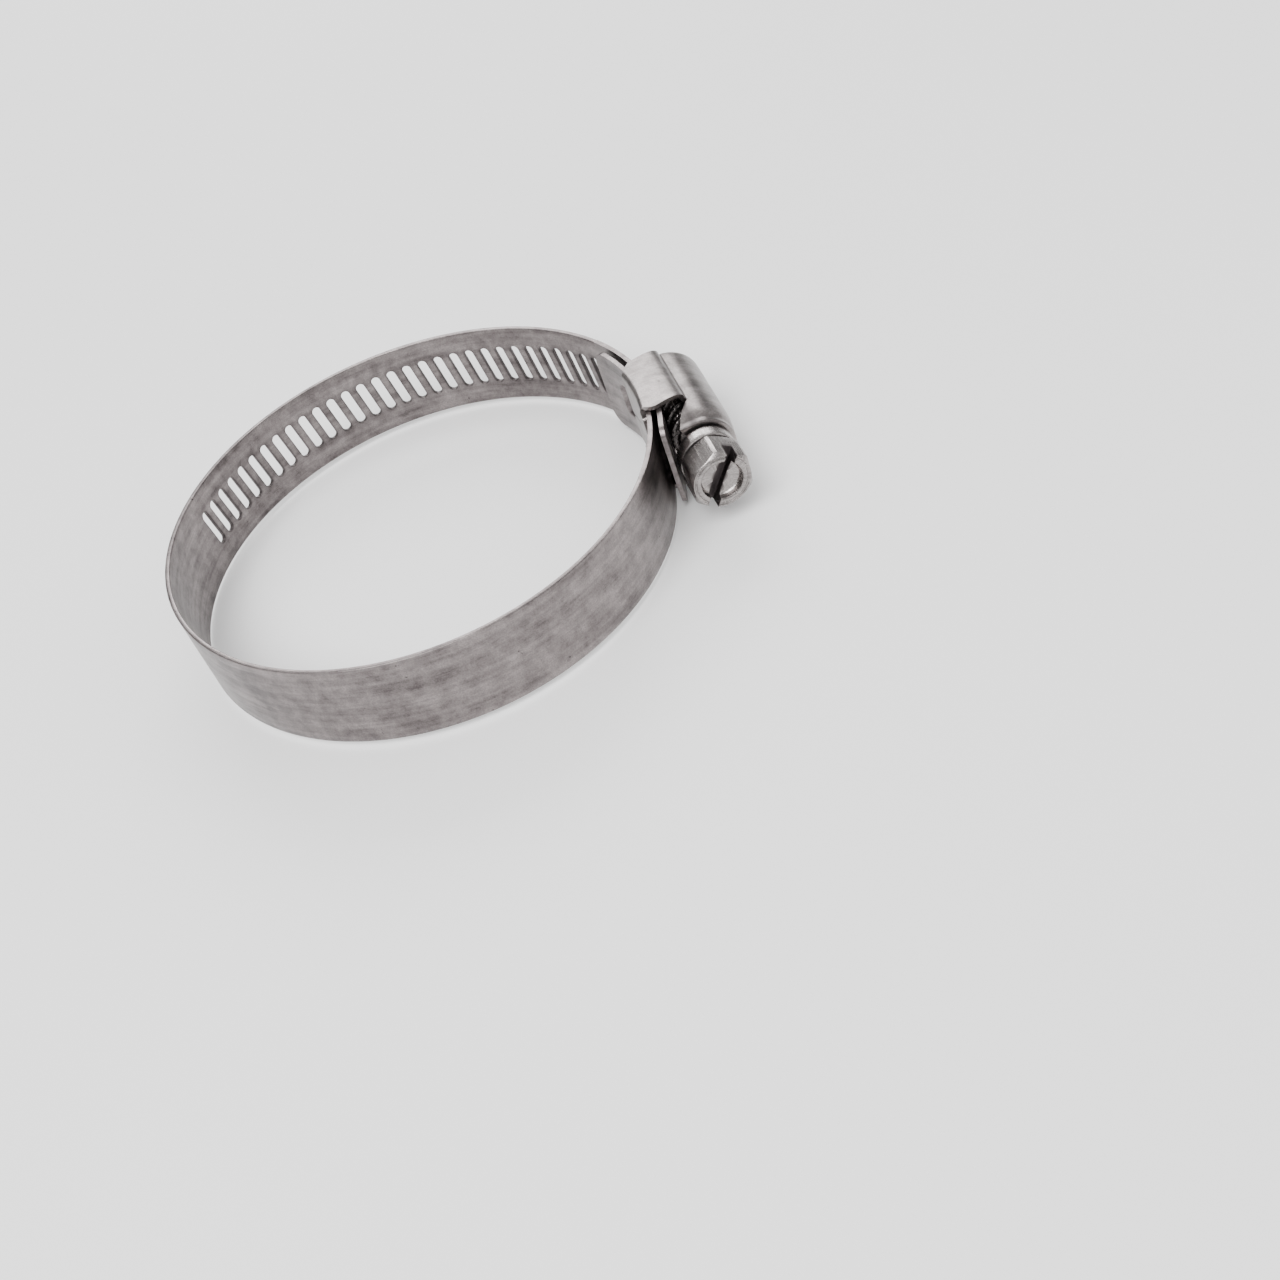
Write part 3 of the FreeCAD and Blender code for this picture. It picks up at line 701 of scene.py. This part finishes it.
def ridge_height(x, turn, phase):
    """Height of the worm's ridge above its core, at a place along the screw and an angle."""
    off = (x - phase - SLOT_PITCH * turn / TURN + SLOT_PITCH / 2) % SLOT_PITCH - SLOT_PITCH / 2
    slope = (RIDGE_ROOT - RIDGE_CREST) / 2
    height = np.clip((RIDGE_ROOT / 2 - np.abs(off)) / slope, 0, 1)
    fade = smooth_step((THREAD_END - x) / 0.8)
    return (CREST_RADIUS - CORE_RADIUS) * smooth_step(height * 0.9 + 0.05) * fade


def worm_phase():
    """Where the ridge crosses the outer side of the screw, so that its band side lies in a slot."""
    middle = route.arcs[-1]
    from_hinge = (middle[4] + math.asin((middle[2][1]) / middle[3])) * (middle[3] + BAND_THICK / 2)
    first = middle[0] + from_hinge
    offset = (first_slot + SLOT_PITCH / 2 - first) % SLOT_PITCH
    return offset + WORM_PLAY - SLOT_PITCH / 2


def screw_turns():
    """Angles round the screw: even along each flat, and closer at the corners."""
    trimmed = math.pi / 6 - math.acos(HEX_FLATS / 2 / HEX_CORNER)
    inner = list(np.linspace(trimmed, math.pi / 3 - trimmed, 14))
    side = [0.0, trimmed / 2] + inner + [math.pi / 3 - trimmed / 2]
    return [HEX_TURN + side_number * math.pi / 3 + t for side_number in range(6) for t in side]


def hex_radius(turn):
    from_flat = (turn - HEX_TURN) % (math.pi / 3) - math.pi / 6
    return min(HEX_FLATS / 2 / math.cos(from_flat), HEX_CORNER)


def screw_rows(turn, phase):
    """The screw's outline at one angle: (along the screw, radius) from tip to face."""
    point = 1.9
    rows = [(SCREW_TIP + 0.12, 0.7), (SCREW_TIP, 1.2)]
    xs = np.arange(SCREW_TIP, THREAD_END + 0.3, 0.09)
    bevel = point + (xs - SCREW_TIP)
    radii = np.minimum(CORE_RADIUS + ridge_height(xs, turn, phase), bevel)
    rows += list(zip(xs, radii))
    low, high = COLLAR
    rows += [(low, CORE_RADIUS), (low, COLLAR_RADIUS - 0.18)]
    rows += [(low + 0.05, COLLAR_RADIUS - 0.05), (low + 0.18, COLLAR_RADIUS)]
    rows += [(x, COLLAR_RADIUS) for x in (low + 0.7, low + 1.4)]
    rows += [(high - 0.2, COLLAR_RADIUS), (high - 0.06, COLLAR_RADIUS - 0.06)]
    rows += [(high, COLLAR_RADIUS - 0.2)]
    rows += [(high, GROOVE_RADIUS), (HEX_START, GROOVE_RADIUS)]
    flat = hex_radius(turn)
    under = 0.25 + (flat - HEX_FLATS / 2) * 0.6
    rows += [(HEX_START, flat - under), (HEX_START + under * 0.75, flat)]
    chamfer = HEAD_FACE - (flat - FACE_RADIUS) * 1.05
    rows += [(HEX_START + 1.6, flat), (HEX_START + 3.0, flat), (chamfer, flat)]
    rows += [(HEAD_FACE - sunk, radius) for radius, sunk in RIM]
    rows += [(HEAD_FACE - 0.12, RECESS_RADIUS + 0.07), (HEAD_FACE - 0.3, RECESS_RADIUS)]
    rows += [(HEAD_FACE - RECESS_DEPTH + 0.25, RECESS_RADIUS - 0.08)]
    rows += [(HEAD_FACE - RECESS_DEPTH + 0.05, RECESS_RADIUS - 0.25)]
    rows += [(HEAD_FACE - RECESS_DEPTH, RECESS_RADIUS - 0.55), (HEAD_FACE - RECESS_DEPTH - 0.1, 1.2)]
    rows += [(HEAD_FACE - RECESS_DEPTH - 0.12, 0.5)]
    return rows


def make_screw():
    phase = worm_phase()
    turns = screw_turns()
    outlines = [screw_rows(turn, phase) for turn in turns]
    bm = bmesh.new()
    surface = bm.verts.layers.float_vector.new("surface")
    columns = []
    for turn, outline in zip(turns, outlines):
        column = []
        for x, radius in outline:
            co = (screw_axis[0] + radius * math.cos(turn), -x, radius * math.sin(turn))
            made = bm.verts.new([c * MM for c in co])
            made[surface] = (turn * 4 * MM, x * MM, radius * MM)
            column.append(made)
        columns.append(column)
    for i, column in enumerate(columns):
        beside = columns[(i + 1) % len(columns)]
        for k in range(len(column) - 1):
            bm.faces.new((column[k], column[k + 1], beside[k + 1], beside[k]))
    for end in (0, -1):
        bm.faces.new([column[end] for column in columns])
    face_outward(bm)
    screw = make_object("clamp_screw", bm, 40)

    cutter_mesh = bmesh.new()
    bmesh.ops.create_cube(cutter_mesh, size=1.0)
    across = Vector((math.cos(DRIVER_TURN), 0, math.sin(DRIVER_TURN)))
    side = Vector((-math.sin(DRIVER_TURN), 0, math.cos(DRIVER_TURN)))
    outward = Vector((0, -1, 0))
    middle = Vector((screw_axis[0], -HEAD_FACE, 0))
    bulge = 2 * HEX_FLATS
    for v in cutter_mesh.verts:
        x, y, z = v.co
        co = middle + across * (x * bulge) + side * (y * DRIVER_WIDTH) + outward * (z * 2 * DRIVER_DEPTH)
        v.co = co * MM

    def along_slot(edge):
        return abs(edge.calc_length() / MM - bulge) < 0.1

    soften(cutter_mesh, sharp_edges(cutter_mesh, 60, along_slot), DRIVER_EDGE * MM, 3)
    cutter = make_object("driver_cutter", cutter_mesh)
    cut = screw.modifiers.new("slot", "BOOLEAN")
    cut.operation = "DIFFERENCE"
    cut.solver = "EXACT"
    cut.object = cutter
    apply_modifiers(screw)
    bpy.data.objects.remove(cutter)
    bm = bmesh.new()
    bm.from_mesh(screw.data)

    def on_head(edge):
        return all(-v.co.y > (COLLAR[0] - 0.05) * MM for v in edge.verts)

    soften(bm, sharp_edges(bm, 24, on_head), HEAD_EDGE * MM)
    bm.to_mesh(screw.data)
    bm.free()
    screw.data.shade_smooth()
    screw.data.set_sharp_from_angle(angle=math.radians(40))
    co = np.array([v.co[:] for v in screw.data.vertices]) / MM
    radius = np.hypot(co[:, 0] - screw_axis[0], co[:, 2])
    # Painted shade in the groove between the collar and the hex, and inside the driver slot.
    groove = np.exp(-(((-co[:, 1] - 12.45) / 0.2) ** 2)) * (radius < 4)
    beside = (co[:, 2] * math.cos(DRIVER_TURN)) - (co[:, 0] - screw_axis[0]) * math.sin(DRIVER_TURN)
    in_slot = (np.abs(beside) < DRIVER_WIDTH / 2 + 0.03) & (-co[:, 1] > HEAD_FACE - DRIVER_DEPTH - 0.05)
    slot_floor = in_slot * np.clip((HEAD_FACE + co[:, 1]) / 0.12, 0, 1)
    painted_shade = screw.data.attributes.new("painted_shade", "FLOAT", "POINT")
    painted_shade.data.foreach_set("value", np.clip(groove + slot_floor, 0, 1).astype(np.float32))
    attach(screw, "worm_screw")
    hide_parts("worm_screw")
    return screw


# ---------------------------------------------------------------- materials


class Nodes:
    """A short way to write a node tree."""

    def __init__(self, tree):
        self.tree = tree
        tree.nodes.clear()

    def new(self, kind, inputs=None, **settings):
        node = self.tree.nodes.new(kind)
        for key, value in settings.items():
            setattr(node, key, value)
        for key, value in (inputs or {}).items():
            if isinstance(value, bpy.types.NodeSocket):
                self.tree.links.new(value, node.inputs[key])
            else:
                node.inputs[key].default_value = value
        return node

    def math(self, operation, first, second=0.0, clamp=False):
        node = self.new("ShaderNodeMath", {0: first, 1: second}, operation=operation)
        node.use_clamp = clamp
        return node.outputs[0]

    def noise(self, vector, scale, detail=3.0, roughness=0.5):
        node = self.new(
            "ShaderNodeTexNoise",
            {"Vector": vector, "Scale": scale, "Detail": detail, "Roughness": roughness},
        )
        return node.outputs[0]

    def stretch(self, vector, scale):
        return self.new("ShaderNodeVectorMath", {0: vector, 1: scale}, operation="MULTIPLY").outputs[0]

    def remap(self, value, low, high, to_low=0.0, to_high=1.0):
        node = self.new(
            "ShaderNodeMapRange",
            {"Value": value, "From Min": low, "From Max": high, "To Min": to_low, "To Max": to_high},
        )
        return node.outputs[0]

    def mix(self, factor, first, second, blend="MIX"):
        node = self.new("ShaderNodeMix", data_type="RGBA", blend_type=blend)
        sockets = (node.inputs[0], node.inputs[6], node.inputs[7])
        for socket, value in zip(sockets, (factor, first, second)):
            if isinstance(value, bpy.types.NodeSocket):
                self.tree.links.new(value, socket)
            else:
                socket.default_value = value
        return node.outputs[2]


def steel(name, light, dark, rough, streak=(60, 900, 900), pits=0.5, shade_depth=0.72, mottle=0.25):
    """Worn stainless steel: blotches, fine grain, streaks along the metal, pits and painted shade.

    The streaks' fineness is given along the metal, across it and through it. A further argument gives
    how dark the painted shade gets where it is full, and mottle how strongly small blotches and grain
    show.
    """
    material = bpy.data.materials.new(name)
    material.use_nodes = True
    nodes = Nodes(material.node_tree)
    surface = nodes.new("ShaderNodeAttribute", attribute_name="surface").outputs["Vector"]
    painted_shade = nodes.new("ShaderNodeAttribute", attribute_name="painted_shade").outputs["Fac"]
    body = nodes.new("ShaderNodeTexCoord").outputs["Object"]
    cloud = nodes.remap(nodes.noise(body, 130, 4, 0.6), 0.3, 0.7)
    blotch = nodes.remap(nodes.noise(body, 480, 5, 0.65), 0.35, 0.68)
    grain = nodes.noise(body, 5200, 2, 0.5)
    drawn = nodes.noise(nodes.stretch(surface, streak), 1.0, 4, 0.6)
    line = nodes.remap(drawn, 0.35, 0.65)
    speck = nodes.remap(nodes.noise(body, 1500, 2, 0.5), 0.7, 0.78)
    patch = nodes.remap(nodes.noise(body, 260, 2, 0.5), 0.5, 0.62)
    pit = nodes.math("MULTIPLY", nodes.math("MULTIPLY", speck, patch), pits)
    tone = nodes.math("ADD", nodes.math("MULTIPLY", cloud, 0.4), nodes.math("MULTIPLY", blotch, mottle))
    tone = nodes.math("ADD", tone, nodes.math("MULTIPLY", line, 0.35))
    colour = nodes.mix(nodes.math("MULTIPLY", tone, 1.0, clamp=True), (*dark, 1), (*light, 1))
    fleck = nodes.remap(grain, 0.3, 0.7, 1 - mottle / 2, 1.1)
    shade = nodes.new("ShaderNodeCombineColor", {0: fleck, 1: fleck, 2: fleck}).outputs[0]
    colour = nodes.mix(1.0, colour, shade, "MULTIPLY")
    # Painted shade from the mesh's attribute, scaled by the darkness argument, and the real pits both
    # draw the colour towards near black.
    shade_and_pits = nodes.math("MAXIMUM", nodes.math("MULTIPLY", painted_shade, shade_depth), pit)
    colour = nodes.mix(shade_and_pits, colour, (0.05, 0.042, 0.043, 1))
    base = nodes.math("ADD", rough, nodes.math("MULTIPLY", cloud, 0.07))
    base = nodes.math("ADD", base, nodes.math("MULTIPLY", line, -0.06))
    base = nodes.math("ADD", base, nodes.math("MULTIPLY", shade_and_pits, 0.25))
    height = nodes.math("ADD", nodes.math("MULTIPLY", drawn, 0.5), nodes.math("MULTIPLY", grain, 0.35))
    height = nodes.math("SUBTRACT", height, nodes.math("MULTIPLY", pit, 0.8))
    relief = nodes.new(
        "ShaderNodeBump", {"Height": height, "Strength": 1.0, "Distance": 0.06 * MM}
    ).outputs[0]
    shader = nodes.new(
        "ShaderNodeBsdfPrincipled",
        {"Base Color": colour, "Roughness": base, "Normal": relief, "Metallic": 1.0},
    )
    nodes.new("ShaderNodeOutputMaterial", {"Surface": shader.outputs[0]})
    return material


def floor_material():
    material = bpy.data.materials.new("pale_floor")
    material.use_nodes = True
    nodes = Nodes(material.node_tree)
    where = nodes.new("ShaderNodeTexCoord").outputs["Object"]
    tint = nodes.mix(nodes.noise(where, 6, 2), (0.86, 0.86, 0.86, 1), (0.9, 0.9, 0.9, 1))
    shader = nodes.new("ShaderNodeBsdfPrincipled", {"Base Color": tint, "Roughness": 0.85})
    nodes.new("ShaderNodeOutputMaterial", {"Surface": shader.outputs[0]})
    return material


def paint(made, material):
    made.data.materials.clear()
    made.data.materials.append(material)


# ---------------------------------------------------------------- studio


def make_floor(level):
    bm = bmesh.new()
    bmesh.ops.create_grid(bm, x_segments=8, y_segments=8, size=3.0)
    for v in bm.verts:
        v.co.z = level
    floor = make_object("studio_floor", bm)
    paint(floor, floor_material())


def area_light(name, where, target, size, power, colour=(1, 1, 1)):
    light = bpy.data.lights.new(name, "AREA")
    light.shape = "RECTANGLE"
    light.size, light.size_y = size
    light.energy = power
    light.color = colour
    made = bpy.data.objects.new(name, light)
    made.location = where
    made.rotation_euler = (Vector(target) - Vector(where)).to_track_quat("-Z", "Y").to_euler()
    bpy.context.scene.collection.objects.link(made)


def make_lights():
    world = bpy.data.worlds.new("studio")
    world.use_nodes = True
    nodes = Nodes(world.node_tree)
    up = nodes.new("ShaderNodeSeparateXYZ", {0: nodes.new("ShaderNodeTexCoord").outputs["Generated"]})
    fade = nodes.remap(up.outputs[2], -0.1, 0.9, 0.35, 1.0)
    sky = nodes.new("ShaderNodeBackground", {"Color": (1, 1, 1, 1), "Strength": fade})
    nodes.new("ShaderNodeOutputWorld", {"Surface": sky.outputs[0]})
    bpy.context.scene.world = world
    centre = (0, 0, 0)
    area_light("key", (-0.25, -0.35, 0.65), centre, (0.5, 0.5), 9)
    area_light("fill", (0.6, -0.1, 0.35), centre, (0.5, 0.4), 1)
    area_light("back", (0.1, 0.6, 0.4), centre, (0.6, 0.3), 4)


def make_camera():
    """The camera looks down on the ring, turned about its own line of sight."""
    elevation = math.radians(41.97)
    roll = math.radians(21.23)
    distance = 195.0
    turn = math.radians(-2.06)
    aim = np.array([20.9, -37.0, 0.0])
    ring_middle = np.array([1.39, -1.97, 0.0])
    forward = np.array([0, math.cos(elevation), -math.sin(elevation)])
    right = np.array([1.0, 0, 0])
    up = np.cross(right, forward)
    cos, sin = math.cos(roll), math.sin(roll)
    side, top = cos * right - sin * up, sin * right + cos * up
    spin = Matrix.Rotation(turn, 3, "Z")
    place = spin @ Vector(aim - forward * distance) + Vector(ring_middle)
    axes = [spin @ Vector(axis) for axis in (side, top, -forward)]
    data = bpy.data.cameras.new("camera")
    data.sensor_width = 36
    data.lens = 45.89
    data.clip_start, data.clip_end = 0.01, 20
    camera = bpy.data.objects.new("camera", data)
    matrix = Matrix([list(row) for row in zip(*axes)]).to_4x4()
    matrix.translation = place * MM
    camera.matrix_world = matrix
    bpy.context.scene.collection.objects.link(camera)
    bpy.context.scene.camera = camera


# ---------------------------------------------------------------- the clamp

make_camera()
band_pieces = make_band()
housing = make_housing()
screw = make_screw()

band_metal = steel("band_metal", (0.3, 0.268, 0.263), (0.055, 0.045, 0.047), 0.34, pits=0.8, mottle=0.42)
housing_metal = steel(
    "housing_metal",
    (0.33, 0.303, 0.295),
    (0.085, 0.074, 0.072),
    0.32,
    (700, 90, 90),
    pits=0.9,
    mottle=0.45,
)
screw_metal = steel(
    "screw_metal",
    (0.42, 0.39, 0.38),
    (0.14, 0.128, 0.124),
    0.25,
    (2600, 60, 200),
    shade_depth=0.96,
    mottle=0.35,
)
for piece in band_pieces:
    paint(piece, band_metal)
paint(housing, housing_metal)
paint(screw, screw_metal)

make_floor(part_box("housing")[0].z - 0.0001)
make_lights()
